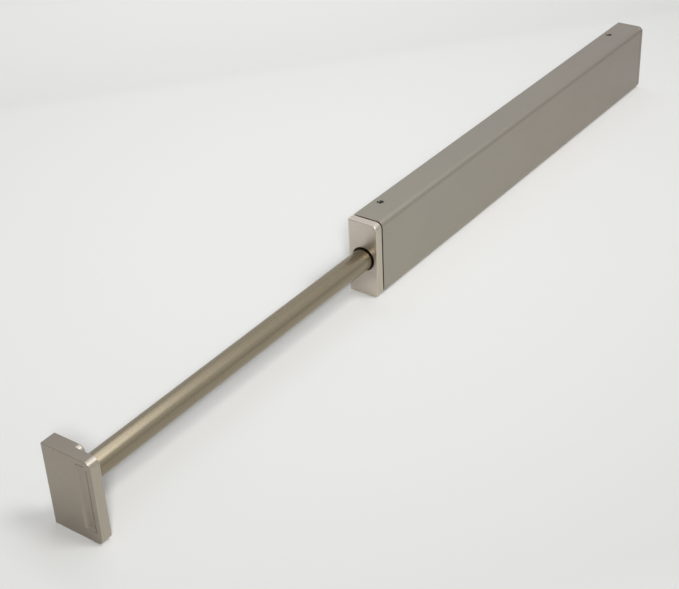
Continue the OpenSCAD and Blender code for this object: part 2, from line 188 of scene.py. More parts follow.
def housing_outline(x0, x1, inset=0.0):
    """Small corners on the wall side, large ones on the room side."""
    radii = (CORNER_R, WALL_CORNER_R, WALL_CORNER_R, CORNER_R)
    return rounded(x0, x1, -HALF_H, HALF_H, radii, inset)


def track_outline(gap):
    """The T-shaped section of what fills the track, drawn in by gap."""
    slot = TRACK_Z - LIP_H - gap
    shoulder = LIP_X + LIP_T + gap
    half = TRACK_Z - gap
    right = ROOM_X - gap
    upper = [(right, half), (shoulder, half), (shoulder, slot), (NECK_X, slot)]
    return upper + [(x, -z) for x, z in reversed(upper)]


def cross_outline(span, arm):
    """A plus sign, whose arms narrow a little towards their ends."""
    taper = 0.85
    s, a = span / 2, arm / 2
    tip = taper * a
    quarter = [(s, -tip), (s, tip), (a, a)]
    points = []
    for i in range(4):
        c, d = (1, 0, -1, 0)[i], (0, 1, 0, -1)[i]
        points += [(x * c - z * d, x * d + z * c) for x, z in quarter]
    return points


class Shape:
    """A closed surface made of rings of points, walls between rings and flat caps."""

    def __init__(self):
        self.verts = []
        self.faces = []

    def ring(self, outline, y):
        """Adds an outline's points at y, and returns their numbers."""
        start = len(self.verts)
        self.verts += [(x * MM, y * MM, z * MM) for x, z in outline]
        return list(range(start, len(self.verts)))

    def wall(self, *rings):
        """Joins each ring to the next one, point to point."""
        for a, b in zip(rings, rings[1:]):
            n = len(a)
            self.faces += [(a[i], a[(i + 1) % n], b[(i + 1) % n], b[i]) for i in range(n)]

    def cap(self, outer, *holes):
        """Closes a flat ring, and leaves its holes open."""
        loops = [outer, *holes]
        flat = [i for loop in loops for i in loop]
        triangles = tessellate_polygon([[Vector(self.verts[i]) for i in loop] for loop in loops])
        self.faces += [tuple(flat[i] for i in t) for t in triangles]

    def piece(self, name, turn=None, sharp=SHARP_ANGLE):
        """The finished object. turn is the matrix that puts it in its place."""
        mesh = bpy.data.meshes.new(name)
        mesh.from_pydata(self.verts, [], self.faces)
        obj = bpy.data.objects.new(name, mesh)
        bpy.context.scene.collection.objects.link(obj)
        if turn is not None:
            mesh.transform(turn)
        clean(obj, sharp)
        return obj


def clean(obj, sharp=SHARP_ANGLE):
    """Merges doubled points, turns the faces outwards and sets the smooth shading."""
    bm = bmesh.new()
    bm.from_mesh(obj.data)
    bmesh.ops.remove_doubles(bm, verts=bm.verts, dist=MERGE_REACH)
    bmesh.ops.dissolve_degenerate(bm, edges=bm.edges, dist=MERGE_REACH)
    bmesh.ops.recalc_face_normals(bm, faces=bm.faces)
    bm.to_mesh(obj.data)
    bm.free()
    obj.data.shade_smooth()
    obj.data.set_sharp_from_angle(angle=math.radians(sharp))


def weigh(obj):
    """Keeps flat faces flat beside their rounded edges."""
    mod = obj.modifiers.new("weighted", "WEIGHTED_NORMAL")
    mod.mode = "FACE_AREA"
    mod.weight = 100
    mod.keep_sharp = True


def cut(obj, cutter):
    """Takes the cutter away from the piece, and applies it."""
    mod = obj.modifiers.new("cut", "BOOLEAN")
    mod.operation = "DIFFERENCE"
    mod.solver = "EXACT"
    mod.object = cutter
    bpy.context.view_layer.update()
    graph = bpy.context.evaluated_depsgraph_get()
    mesh = bpy.data.meshes.new_from_object(obj.evaluated_get(graph))
    obj.modifiers.clear()
    obj.data = mesh
    bpy.data.objects.remove(cutter)


ALONG_Z = Matrix.Rotation(math.radians(90), 4, "X")
ALONG_X = Matrix.Rotation(math.radians(-90), 4, "Z")


def at(x, y, z, turn):
    """A turn and then a move, in millimetres."""
    return Matrix.Translation((x * MM, y * MM, z * MM)) @ turn


def lathe(name, profile, turn):
    """A closed round solid. profile is (distance along the axis, radius)."""
    shape = Shape()
    rings = [shape.ring(circle(0, 0, r, ROUND_STEPS), y) for y, r in profile]
    shape.wall(*rings)
    shape.cap(rings[0])
    shape.cap(rings[-1])
    return shape.piece(name, turn)


def rounded_rings(shape, x0, x1, y, direction, r=EDGE_R, steps=6):
    """Rings of a rounded edge, from the flat face at y to the full outline behind it."""
    rings = []
    for i in range(steps + 1):
        a = math.radians(90 * i / steps)
        outline = housing_outline(x0, x1, r * (1 - math.sin(a)))
        rings.append(shape.ring(outline, y + direction * r * (1 - math.cos(a))))
    return rings


def bezel_piece():
    """The front frame, with the rod's hole and, in its back, a pocket for the guide's flange."""
    chip = 0.12
    hole_chip = 0.25
    flange_gap = 0.1
    pocket_side = 1.7
    pocket_end = 3.4
    pocket_r = 0.5
    pocket_y = COVER_Y - GUIDE_FLANGE_T - flange_gap
    seam_y = COVER_Y - SEAM_FRONT
    shape = Shape()
    rings = rounded_rings(shape, 0, HOUSING_W, BEZEL_Y, 1)
    rings.append(shape.ring(housing_outline(0, HOUSING_W), seam_y - chip))
    rings.append(shape.ring(housing_outline(0, HOUSING_W, chip), seam_y))
    shape.wall(*rings)
    mouth = shape.ring(circle(ROD_X, 0, HOLE_R + hole_chip), BEZEL_Y)
    bore = [shape.ring(circle(ROD_X, 0, HOLE_R), y) for y in (BEZEL_Y + hole_chip, pocket_y)]
    shape.wall(mouth, *bore)
    pocket = rounded(pocket_side, HOUSING_W - pocket_side, -HALF_H + pocket_end, HALF_H - pocket_end,
                     (pocket_r,) * 4, steps=3)
    deep, back = shape.ring(pocket, pocket_y), shape.ring(pocket, seam_y)
    shape.wall(deep, back)
    shape.cap(rings[0], mouth)
    shape.cap(deep, bore[-1])
    shape.cap(rings[-1], back)
    return shape.piece("bezel")


def sink(shape, x, z, y, depth, head_r, hole_r):
    """The countersink and bore of one screw, from the face at y towards -Y. Returns its mouth and far end."""
    chip = 0.08
    cone = head_r - hole_r
    sizes = [(0, head_r + chip), (chip, head_r), (cone, hole_r), (depth, hole_r)]
    rings = [shape.ring(circle(x, z, r, HOLE_STEPS), y - d) for d, r in sizes]
    shape.wall(*rings)
    return rings[0], rings[-1]


def cap_piece():
    """The rear cap, with two screw holes and a spigot whose end has the hole for the bumper's stem."""
    chip = 0.25
    spigot_gap = 0.1
    spigot_l = 5
    stem_r = 2
    stem_end = 0.9
    shape = Shape()
    rings = [shape.ring(housing_outline(0, HOUSING_W, chip), CAP_Y)]
    rings.append(shape.ring(housing_outline(0, HOUSING_W), CAP_Y + chip))
    rings += reversed(rounded_rings(shape, 0, HOUSING_W, END_Y, -1))
    shape.wall(*rings)
    holes = [sink(shape, PORT[0], side * PORT[1], END_Y, END_Y - CAP_Y, END_SINK_R, CAP_HOLE_R)
             for side in (1, -1)]
    spigot = [shape.ring(track_outline(spigot_gap), y) for y in (CAP_Y, CAP_Y - spigot_l)]
    shape.wall(*spigot)
    stem = [shape.ring(circle(ROD_X, 0, stem_r, STEM_STEPS), CAP_Y - d) for d in (spigot_l, stem_end)]
    shape.wall(*stem)
    shape.cap(stem[1])
    shape.cap(spigot[1], stem[0])
    shape.cap(rings[0], spigot[0], *[far for mouth, far in holes])
    shape.cap(rings[-1], *[mouth for mouth, far in holes])
    return shape.piece("end_cap")


def groove_outline(inset):
    """The finger groove's outline in the paddle's face."""
    r = (GROOVE_WALL,) * 4
    half_w, half_l = GROOVE_W / 2, GROOVE_L / 2
    x0, x1 = GROOVE_X - half_w, GROOVE_X + half_w
    z0, z1 = GROOVE_Z - half_l, GROOVE_Z + half_l
    return rounded(x0, x1, z0, z1, r, inset, steps=8)


def paddle_piece():
    """The wide front plate, with the finger groove in its face and three wells for screws in its back."""
    lip = 0.3
    lip_turn = 75
    lip_steps = 4
    wall_start = 2
    wall_steps = 10
    shape = Shape()
    x0, x1 = PLATE_LOW.x, PLATE_HIGH.x
    front, back = PLATE_LOW.y, PLATE_HIGH.y
    rings = rounded_rings(shape, x0, x1, front, 1, PADDLE_EDGE_R)
    rings += reversed(rounded_rings(shape, x0, x1, back, -1, JOINT_R))
    shape.wall(*rings)
    groove = []
    for i in range(lip_steps):
        a = math.radians(lip_turn * i / lip_steps)
        outline = groove_outline(-lip * (1 - math.sin(a)))
        groove.append(shape.ring(outline, front + lip * (1 - math.cos(a))))
    # The wall is an arc, less its first steps, whose place the lip takes
    arc_r = (GROOVE_WALL ** 2 + GROOVE_D ** 2) / (2 * GROOVE_D)
    steepest = math.asin(GROOVE_WALL / arc_r)
    for i in range(wall_start, wall_steps + 1):
        a = steepest * (1 - i / wall_steps)
        outline = groove_outline(GROOVE_WALL - arc_r * math.sin(a))
        groove.append(shape.ring(outline, front + GROOVE_D - arc_r * (1 - math.cos(a))))
    shape.wall(*groove)
    shape.cap(groove[-1])
    shape.cap(rings[0], groove[0])
    wells = []
    for z, r, depth in ((0, POCKET_R, POCKET_D), (PADDLE_SCREW_Z, PLATE_HOLE_R, BLIND_D),
                        (-PADDLE_SCREW_Z, PLATE_HOLE_R, BLIND_D)):
        well = [shape.ring(circle(ROD_X, z, r, HOLE_STEPS), back - d) for d in (0, depth)]
        shape.wall(*well)
        shape.cap(well[1])
        wells.append(well[0])
    shape.cap(rings[-1], *wells)
    return shape.piece("paddle_face")


def spacer_piece():
    """The block behind the plate, with two screw holes and the rod's seat in its back."""
    chip = JOINT_R
    seat_chip = 0.1
    shape = Shape()
    x0, x1 = SPACER_LOW.x, SPACER_HIGH.x
    front, back = SPACER_LOW.y, SPACER_HIGH.y
    rings = [shape.ring(housing_outline(x0, x1, chip), front)]
    rings.append(shape.ring(housing_outline(x0, x1), front + chip))
    rings += reversed(rounded_rings(shape, x0, x1, back, -1))
    shape.wall(*rings)
    holes = [sink(shape, ROD_X, side * PADDLE_SCREW_Z, back, back - front, SPACER_SINK_R, SPACER_HOLE_R)
             for side in (1, -1)]
    seat = [shape.ring(circle(ROD_X, 0, r), back - d)
            for r, d in ((ROD_SEAT_R + seat_chip, 0), (ROD_SEAT_R, seat_chip), (ROD_SEAT_R, ROD_SEAT_D))]
    shape.wall(*seat)
    bore = [shape.ring(circle(ROD_X, 0, ROD_HOLE_R, HOLE_STEPS), y) for y in (back - ROD_SEAT_D, front)]
    shape.wall(*bore)
    shape.cap(seat[-1], bore[0])
    shape.cap(rings[0], bore[1], *[far for mouth, far in holes])
    shape.cap(rings[-1], seat[0], *[mouth for mouth, far in holes])
    return shape.piece("paddle_back")


def rod_piece():
    """The rod: a tube with chipped ends."""
    chip = 0.3
    inner = ROD_R - ROD_WALL
    y0, y1 = ROD_LOW.y, ROD_HIGH.y
    shape = Shape()
    stations = [(y0, inner), (y0, ROD_R - chip), (y0 + chip, ROD_R),
                (y1 - chip, ROD_R), (y1, ROD_R - chip), (y1, inner)]
    rings = [shape.ring(circle(ROD_X, 0, r, ROD_STEPS), y) for y, r in stations]
    shape.wall(*rings, rings[0])
    return shape.piece("rod")


def cover_outline(inset):
    """The cover's C-shaped section. inset draws in its outer edge only."""
    wall_r = 0.3
    r = CORNER_R - inset
    half, right = HALF_H - inset, HOUSING_W - inset
    outer = arc(wall_r, half - wall_r, wall_r, 180, 90, steps=3)
    outer += arc(right - r, half - r, r, 90, 0, steps=16)
    outer += arc(right - r, -half + r, r, 0, -90, steps=16)
    outer += arc(wall_r, -half + wall_r, wall_r, -90, -180, steps=3)
    inner_r = CORNER_R - WALL_T
    web = math.degrees(math.asin(PORT_WEB_Z / PORT_OUTER_R))
    upper = [(0, BEAD_Z), (BEAD_W, BEAD_Z), (BEAD_W, HALF_H - WALL_T)]
    upper += arc(ROOM_X - inner_r, HALF_H - WALL_T - inner_r, inner_r, 90, 0, steps=6)
    upper += [(ROOM_X, PORT[1] + PORT_WEB_Z)]
    upper += arc(PORT[0], PORT[1], PORT_OUTER_R, web, 360 - web, steps=24)
    upper += [(ROOM_X, PORT[1] - PORT_WEB_Z), (ROOM_X, TRACK_Z + RIB_T), (LIP_X, TRACK_Z + RIB_T)]
    upper += [(LIP_X, TRACK_Z - LIP_H), (LIP_X + LIP_T, TRACK_Z - LIP_H), (LIP_X + LIP_T, TRACK_Z)]
    upper += [(ROOM_X, TRACK_Z)]
    lower = [(x, -z) for x, z in upper]
    hook = [(HOOK_X[0], -BEAD_Z), (HOOK_X[0], -HOOK_Z), (HOOK_X[1], -HOOK_Z), (HOOK_X[1], -BEAD_Z)]
    return outer + lower[:1] + hook + lower[1:] + upper[::-1]


def cover_piece():
    """The cover, with its two screw ports and the two set screw holes in its top."""
    chip = 0.15
    rear_chip = 0.25
    mouth_chip = 0.2
    reach = 1
    front = COVER_Y + SEAM_BACK
    shape = Shape()
    stations = [(front, chip), (front + chip, 0), (CAP_Y - rear_chip, 0), (CAP_Y, rear_chip)]
    rings = [shape.ring(cover_outline(inset), y) for y, inset in stations]
    shape.wall(*rings)
    ports = []
    for side in (1, -1):
        port = [shape.ring(circle(PORT[0], side * PORT[1], PORT_R, PORT_STEPS), y) for y in (front, CAP_Y)]
        shape.wall(*port)
        ports.append(port)
    shape.cap(rings[0], *[port[0] for port in ports])
    shape.cap(rings[-1], *[port[1] for port in ports])
    cover = shape.piece("cover")
    hole = [(BEAD_Z - reach, SET_R), (HALF_H - mouth_chip, SET_R),
            (HALF_H + mouth_chip, SET_R + 2 * mouth_chip)]
    for end in (-1, 1):
        cut(cover, lathe("cutter", hole, at(SET_X, end * SET_Y, 0, ALONG_Z)))
    clean(cover)
    return cover


def channel_outline(inset):
    """The mounting plate's section: a channel with a toe on its lower flange."""
    bend = 0.8
    inner = 0.6
    x1, top = CHANNEL_HIGH.x - inset, CHANNEL_TOP - inset
    under = CHANNEL_TOP - CHANNEL_T
    half = arc(bend, top - bend, bend, 180, 90, steps=5) + [(x1, top), (x1, under + inset)]
    half += arc(CHANNEL_T + inner, under - inner, inner, 90, 180, steps=5)
    toe = [(x1, -top), (x1, TOE_Z + inset), (TOE_X + inset, TOE_Z + inset), (TOE_X + inset, -top)]
    lower = [(x, -z) for x, z in reversed(half)]
    n = lower.index((x1, -top))
    return half + lower[:n] + toe + lower[n + 1:]


def channel_piece():
    """The mounting plate, with its countersunk wall screw holes and a dimple under each set screw."""
    chip = 0.15
    reach = 1
    past = 0.3
    dimple_r = SET_R - 0.1
    dimple_d = 0.6
    dimple_past = 0.5
    y0, y1 = CHANNEL_LOW.y, CHANNEL_HIGH.y
    shape = Shape()
    stations = [(y0, chip), (y0 + chip, 0), (y1 - chip, 0), (y1, chip)]
    rings = [shape.ring(channel_outline(inset), y) for y, inset in stations]
    shape.wall(*rings)
    shape.cap(rings[0])
    shape.cap(rings[-1])
    channel = shape.piece("wall_channel")
    slope = WALL_SINK_R - WALL_HOLE_R
    hole = [(-reach, WALL_HOLE_R), (CHANNEL_T - slope, WALL_HOLE_R), (CHANNEL_T + past, WALL_SINK_R + past)]
    for y in WALL_HOLE_Y:
        cut(channel, lathe("cutter", hole, at(0, y, 0, ALONG_X)))
    dimple = [(CHANNEL_TOP - dimple_d, dimple_r), (CHANNEL_TOP + dimple_past, dimple_r)]
    for end in (-1, 1):
        cut(channel, lathe("cutter", dimple, at(SET_X, end * SET_Y, 0, ALONG_Z)))
    clean(channel)
    return channel


def joined(name, parts):
    """One piece made of several closed shapes."""
    bm = bmesh.new()
    for part in parts:
        bm.from_mesh(part.data)
        bpy.data.objects.remove(part)
    mesh = bpy.data.meshes.new(name)
    bm.to_mesh(mesh)
    bm.free()
    obj = bpy.data.objects.new(name, mesh)
    bpy.context.scene.collection.objects.link(obj)
    obj.data.shade_smooth()
    obj.data.set_sharp_from_angle(angle=math.radians(SHARP_ANGLE))
    return obj


def set_screw(name, y):
    """A set screw in the cover's top, with its point in the plate's flange and a hexagon socket."""
    gap = 0.05
    point_l = 0.5
    point_r = 1.2
    chip = 0.2
    top_chip = 0.35
    socket_r = 1.12
    socket_chip = 0.08
    socket_d = 2
    drill_r = 0.1
    drill_d = 2.4
    r = SET_R - gap
    end, top = CHANNEL_TOP, SET_TOP_Z
    shape = Shape()
    stations = [(end - point_l, point_r - chip), (end - point_l + chip, point_r), (end, point_r),
                (end, r - chip), (end + chip, r), (top - top_chip, r), (top, r - top_chip)]
    rings = [shape.ring(circle(0, 0, radius, ROUND_STEPS), z) for z, radius in stations]
    shape.wall(*rings)
    shape.cap(rings[0])
    socket = [(top, socket_r + socket_chip), (top - socket_chip, socket_r), (top - socket_d, socket_r),
              (top - drill_d, drill_r)]
    hexagons = [shape.ring(circle(0, 0, radius, steps=6), z) for z, radius in socket]
    shape.wall(*hexagons)
    shape.cap(hexagons[-1])
    shape.cap(rings[-1], hexagons[0])
    return shape.piece(name, at(SET_X, y, 0, ALONG_Z), SCREW_SHARP_ANGLE)


def cross_screw(name, x, y, z, head_r, shank_r, length):
    """A countersunk cross recess screw that points to -Y, with its head's face at y."""
    rim = 0.12
    rim_h = 0.1
    point_l = 0.6
    point_r = shank_r * 0.6
    span_share = 1.2
    arm_share = 0.3
    head_h = head_r - shank_r
    shape = Shape()
    stations = [(y, head_r - rim), (y - rim_h, head_r), (y - head_h, shank_r),
                (y - length + point_l, shank_r), (y - length, point_r)]
    rings = [shape.ring(circle(0, 0, r, ROUND_STEPS), d) for d, r in stations]
    shape.wall(*rings)
    shape.cap(rings[-1])
    # The recess's mouth, the foot of its chip and its bottom, each as a share of its size and a depth
    recess = ((1.06, 0), (1.0, 0.08), (0.6, head_h * 0.65))
    span, arm = head_r * span_share, head_r * arm_share
    crosses = [shape.ring(cross_outline(span * size, arm * size), y - depth) for size, depth in recess]
    shape.wall(*crosses)
    shape.cap(crosses[-1])
    shape.cap(rings[0], crosses[0])
    return shape.piece(name, at(x, 0, z, Matrix.Identity(4)), SCREW_SHARP_ANGLE)


def screw_pair(name, x, y, z, head_r, shank_r, length):
    """Two such screws, one above the other at z and -z."""
    parts = [cross_screw(name + "_a", x, y, z, head_r, shank_r, length),
             cross_screw(name + "_b", x, y, -z, head_r, shank_r, length)]
    return joined(name, parts)


# Finishes, all of them procedural

# How a grain is stretched: drawn out along the rod, more so on the rod itself, or upright
ALONG_ROD = (1.0, 0.02, 1.0)
DRAWN = (1.0, 0.003, 1.0)
UPRIGHT = (1, 1, 0.02)

# How directly a face looks to the room side, or up or down, where the tone painted for that facing begins and
# where it is full: upright brushing with painted light and shade on the room side, painted shade up and down
SIDE_BRUSH_AND_LIGHT_FACING = (0.55, 0.95)
TOP_SHADE_FACING = (0.9, 0.99)

# Spreads of tone and of roughness, and heights of relief in metres
NOISE_ROUGHNESS = 0.6
STREAK_CONTRAST = 0.15
MOULDED_CONTRAST = 0.15
PLATED_GLOSS = 0.03
MOULDED_GLOSS = 0.06
PLATED_RELIEF = 0.00002
MOULDED_RELIEF = 0.00005


def link(tree, source, target):
    """Joins an output to an input."""
    tree.links.new(source, target)


def noise_of(tree, scale, detail, stretch=(1, 1, 1)):
    """Noise in object space. scale is per metre, and stretch multiplies it along each axis."""
    coord = tree.nodes.new("ShaderNodeTexCoord")
    mapping = tree.nodes.new("ShaderNodeMapping")
    mapping.inputs["Scale"].default_value = stretch
    noise = tree.nodes.new("ShaderNodeTexNoise")
    noise.inputs["Scale"].default_value = scale
    noise.inputs["Detail"].default_value = detail
    noise.inputs["Roughness"].default_value = NOISE_ROUGHNESS
    link(tree, coord.outputs["Object"], mapping.inputs["Vector"])
    link(tree, mapping.outputs["Vector"], noise.inputs["Vector"])
    return noise.outputs["Fac"]


def spread(tree, value, low, high, start=0.3, end=0.7):
    """Turns the value's range from start to end into the range from low to high."""
    node = tree.nodes.new("ShaderNodeMapRange")
    node.inputs["From Min"].default_value = start
    node.inputs["From Max"].default_value = end
    node.inputs["To Min"].default_value = low
    node.inputs["To Max"].default_value = high
    link(tree, value, node.inputs["Value"])
    return node.outputs["Result"]


def two_tone(tree, value, first, second):
    """Goes from one fixed colour to another with the value."""
    node = tree.nodes.new("ShaderNodeMix")
    node.data_type = "RGBA"
    node.inputs["A"].default_value = (*first, 1)
    node.inputs["B"].default_value = (*second, 1)
    link(tree, value, node.inputs["Factor"])
    return node.outputs["Result"]


def mixed(tree, factor, first, second):
    """Goes from one colour output to another with the factor."""
    node = tree.nodes.new("ShaderNodeMix")
    node.data_type = "RGBA"
    link(tree, factor, node.inputs["Factor"])
    link(tree, first, node.inputs["A"])
    link(tree, second, node.inputs["B"])
    return node.outputs["Result"]


def math_node(tree, operation, *values):
    """One step of sums on numbers and outputs."""
    node = tree.nodes.new("ShaderNodeMath")
    node.operation = operation
    for socket, value in zip(node.inputs, values):
        if isinstance(value, (int, float)):
            socket.default_value = value
        else:
            link(tree, value, socket)
    return node.outputs["Value"]


def axes_of(tree, output):
    """The three axes of a texture coordinate, such as Object or Normal."""
    coord = tree.nodes.new("ShaderNodeTexCoord")
    axes = tree.nodes.new("ShaderNodeSeparateXYZ")
    link(tree, coord.outputs[output], axes.inputs["Vector"])
    return axes


def bumped(tree, value, strength, distance, shader):
    """Gives the shader a relief from the value. distance is its height in metres."""
    node = tree.nodes.new("ShaderNodeBump")
    node.inputs["Strength"].default_value = strength
    node.inputs["Distance"].default_value = distance
    link(tree, value, node.inputs["Height"])
    link(tree, node.outputs["Normal"], shader.inputs["Normal"])


def finish_material(name, metallic):
    """A new material, with its nodes and its shader."""
    material = bpy.data.materials.new(name)
    material.use_nodes = True
    shader = material.node_tree.nodes["Principled BSDF"]
    shader.inputs["Metallic"].default_value = metallic
    return material, material.node_tree, shader


def shade(colour, factor):
    """The same colour, lighter or darker."""
    return tuple(c * factor for c in colour)


def varied(tree, value, colour, amount):
    """A colour that goes from a little darker to a little lighter with the value."""
    return two_tone(tree, value, shade(colour, 1 - amount), shade(colour, 1 + amount))


def plated(name, colour, rough, grain=(1, 1, 1), grain_scale=5000, drift=0.06, relief=0.05,
           side=None, far=None, top=None):
    """Satin plated or anodised metal: a slow drift of tone, and a fine grain in gloss and relief. side is the
    tone
    of the faces that look to the room side: their upright brushing, with the light and shade that falls on
    them painted in. far is a painted shade that darkens the housing towards its rear end, and top a painted
    shade on the faces that look up or down."""
    material, tree, shader = finish_material(name, 1.0)
    slow = noise_of(tree, scale=28, detail=3)
    fine = noise_of(tree, grain_scale, detail=4, stretch=grain)
    tone = varied(tree, slow, colour, drift)
    # Towards the housing's rear end the cover darkens: painted shade
    if far is not None:
        rear = varied(tree, slow, far, drift)
        place_y = axes_of(tree, "Object").outputs["Y"]
        tone = mixed(tree, spread(tree, place_y, 0.0, 1.0, COVER_Y * MM, CAP_Y * MM), tone, rear)
    # The room-side faces: their upright brushing, and a tone of their own that paints in the light and shade
    # falling on them
    if side is not None:
        streaks = noise_of(tree, scale=1400, detail=3, stretch=UPRIGHT)
        brushing_and_painted_light = varied(tree, streaks, side, STREAK_CONTRAST)
        facing = axes_of(tree, "Normal").outputs["X"]
        tone = mixed(tree, spread(tree, facing, 0.0, 1.0, *SIDE_BRUSH_AND_LIGHT_FACING), tone, brushing_and_painted_light)
    # The faces that look up or down take a darker tone: painted shade
    if top is not None:
        upright = varied(tree, slow, top, drift)
        upward = math_node(tree, "ABSOLUTE", axes_of(tree, "Normal").outputs["Z"])
        tone = mixed(tree, spread(tree, upward, 0.0, 1.0, *TOP_SHADE_FACING), tone, upright)
    link(tree, tone, shader.inputs["Base Color"])
    link(tree, spread(tree, fine, rough - PLATED_GLOSS, rough + PLATED_GLOSS), shader.inputs["Roughness"])
    bumped(tree, fine, relief, PLATED_RELIEF, shader)
    return material


def moulded(name, colour, rough, grain_scale=1600, relief=0.3):
    """Plastic, rubber or felt: a matt grain."""
    material, tree, shader = finish_material(name, 0.0)
    fine = noise_of(tree, grain_scale, detail=3)
    slow = noise_of(tree, scale=60, detail=2)
    link(tree, varied(tree, slow, colour, MOULDED_CONTRAST), shader.inputs["Base Color"])
    link(tree, spread(tree, fine, rough - MOULDED_GLOSS, rough + MOULDED_GLOSS), shader.inputs["Roughness"])
    bumped(tree, fine, relief, MOULDED_RELIEF, shader)
    return material


FINISHES = {
    # The cover darkens towards its rear end: painted shade
    "cover_nickel": plated("cover_nickel", (0.355, 0.33, 0.277), 0.36, ALONG_ROD, 1800,
                           far=(0.31, 0.275, 0.24)),
    # The bezel's room-side faces are darker than its front: upright brushing with painted shade
    "bezel_nickel": plated("bezel_nickel", (0.62, 0.56, 0.49), 0.36, side=(0.52, 0.47, 0.39)),
    # The rear cap takes the darker tone of the cover's rear end: painted shade
    "cap_nickel": plated("cap_nickel", (0.315, 0.28, 0.245), 0.36),
    # The paddle's room-side faces are lighter than its front, upright brushing with painted light, and its
    # top and bottom darker, painted shade
    "paddle_nickel": plated("paddle_nickel", (0.345, 0.305, 0.255), 0.28, side=(0.44, 0.40, 0.33),
                            top=(0.285, 0.255, 0.215)),
    "rod_nickel": plated("rod_nickel", (0.275, 0.235, 0.165), 0.26, DRAWN, 4000, relief=0.02),
    "zinc_steel": plated("zinc_steel", (0.45, 0.45, 0.44), 0.42, grain_scale=900, drift=0.14),
    "screw_steel": plated("screw_steel", (0.42, 0.42, 0.40), 0.35, grain_scale=1500),
    "plug_steel": plated("plug_steel", (0.50, 0.50, 0.48), 0.30, ALONG_ROD, 1200),
    "set_screw_steel": plated("set_screw_steel", (0.30, 0.295, 0.285), 0.25, grain_scale=1500),
    "black_plastic": moulded("black_plastic", (0.014, 0.014, 0.014), 0.55),
    "black_rubber": moulded("black_rubber", (0.011, 0.011, 0.011), 0.75),
    "grey_felt": moulded("grey_felt", (0.075, 0.075, 0.085), 0.92, 900, 0.8),
}


def dress(obj, slot):
    """Gives an object its finish."""
    obj.data.materials.clear()
    obj.data.materials.append(FINISHES[slot])


def place(obj, body, slot, *nodes):
    """Gives a piece its finish, lets it ride on its body and stand for its CAD nodes."""
    dress(obj, slot)
    weigh(obj)
    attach(obj, body)
    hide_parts(*nodes)


place(cover_piece(), "housing", "cover_nickel", "housing_cover")
place(bezel_piece(), "housing", "bezel_nickel", "front_bezel")
place(cap_piece(), "housing", "cap_nickel", "rear_cap")
place(channel_piece(), "housing", "zinc_steel", "mounting_plate")
place(joined("set_screws", [set_screw("set_a", -SET_Y), set_screw("set_b", SET_Y)]),
      "housing", "set_screw_steel", "cover_set_screws")
place(screw_pair("end_cap_screws", PORT[0], END_Y, PORT[1], END_HEAD_R, END_SHANK_R, END_SCREW_L),
      "housing", "screw_steel", "rear_cap_screws")
place(rod_piece(), "slide", "rod_nickel", "rod_tube")
place(paddle_piece(), "slide", "paddle_nickel", "paddle_plate")
place(spacer_piece(), "slide", "paddle_nickel", "paddle_spacer")
place(screw_pair("paddle_screws", ROD_X, SPACER_HIGH.y, PADDLE_SCREW_Z, PLATE_HEAD_R, PLATE_SHANK_R,
                 PLATE_SCREW_L),
      "slide", "screw_steel", "paddle_plate_screws")

KEPT_NODES = {
    "front_guide": "black_plastic", "front_guide_screws": "screw_steel", "friction_sleeve": "grey_felt",
    "rear_bumper": "black_rubber", "rod_front_plug": "plug_steel", "rod_rear_plug": "plug_steel",
    "paddle_rod_screw": "screw_steel", "carriage": "black_plastic", "carriage_screw": "screw_steel",
    "carriage_washer": "screw_steel", "stop_pad": "black_rubber",
}
for node, slot in KEPT_NODES.items():
    dress(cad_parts[node], slot)


# The studio: a pale paper floor and a pale surround, a key lamp above, a small lamp near the camera's line
# that mirrors don't show, a glow that only mirrors show, and a long panel above and behind

# The paper: a pool of painted light, its tone falling from the higher level at its centre to the lower one.
# Places are in metres
FLOOR_TONE = (0.953, 0.950, 0.925)
LIGHT_POOL_CENTRE = (-0.324, 0.074)
LIGHT_POOL_TURN = math.radians(55.7)
LIGHT_POOL_REACH = (1.29, 1.144)
LIGHT_POOL_LEVELS = (0.60, 0.908)
FLOOR_HALF = 20.0
FLOOR_ROUGHNESS = 0.85
FLOOR_SPECULAR = 0.15

# The fold: a line through a point, where a painted shade darkens the paper, and beyond which painted light
# brightens it
FOLD_POINT = (-0.199, 0.106)
FOLD_TURN = math.radians(50.5)
FOLD_SHADE = 0.03
FOLD_LIGHT = 0.165
FOLD_EDGE = 0.01
FOLD_END = 0.22

# The floor fades into this tone between these distances
FAR_TONE = (0.62, 0.62, 0.61)
FAR_REACH = (0.85, 1.2)

# The surround's brightness by height and by depth, and how much of it lights the scene
HEIGHT_STOPS = ((0.0, 0.60), (0.12, 0.65), (0.45, 0.84), (1.0, 0.72))
DEPTH_STOPS = ((0.0, 0.75), (0.30, 0.70), (0.5, 1.0), (1.0, 1.0))
FILL_LIGHT = 0.47

# The camera's place, its angles in radians, its focal length and the photograph's width in pixels
CAMERA_PLACE = (0.4042, -0.7237, 0.3996)
CAMERA_YAW = 0.643
CAMERA_PITCH = -0.558
CAMERA_ROLL = -0.050
FOCAL_PX = 1383.26
PHOTO_W_PX = 679
SENSOR_W = 36.0


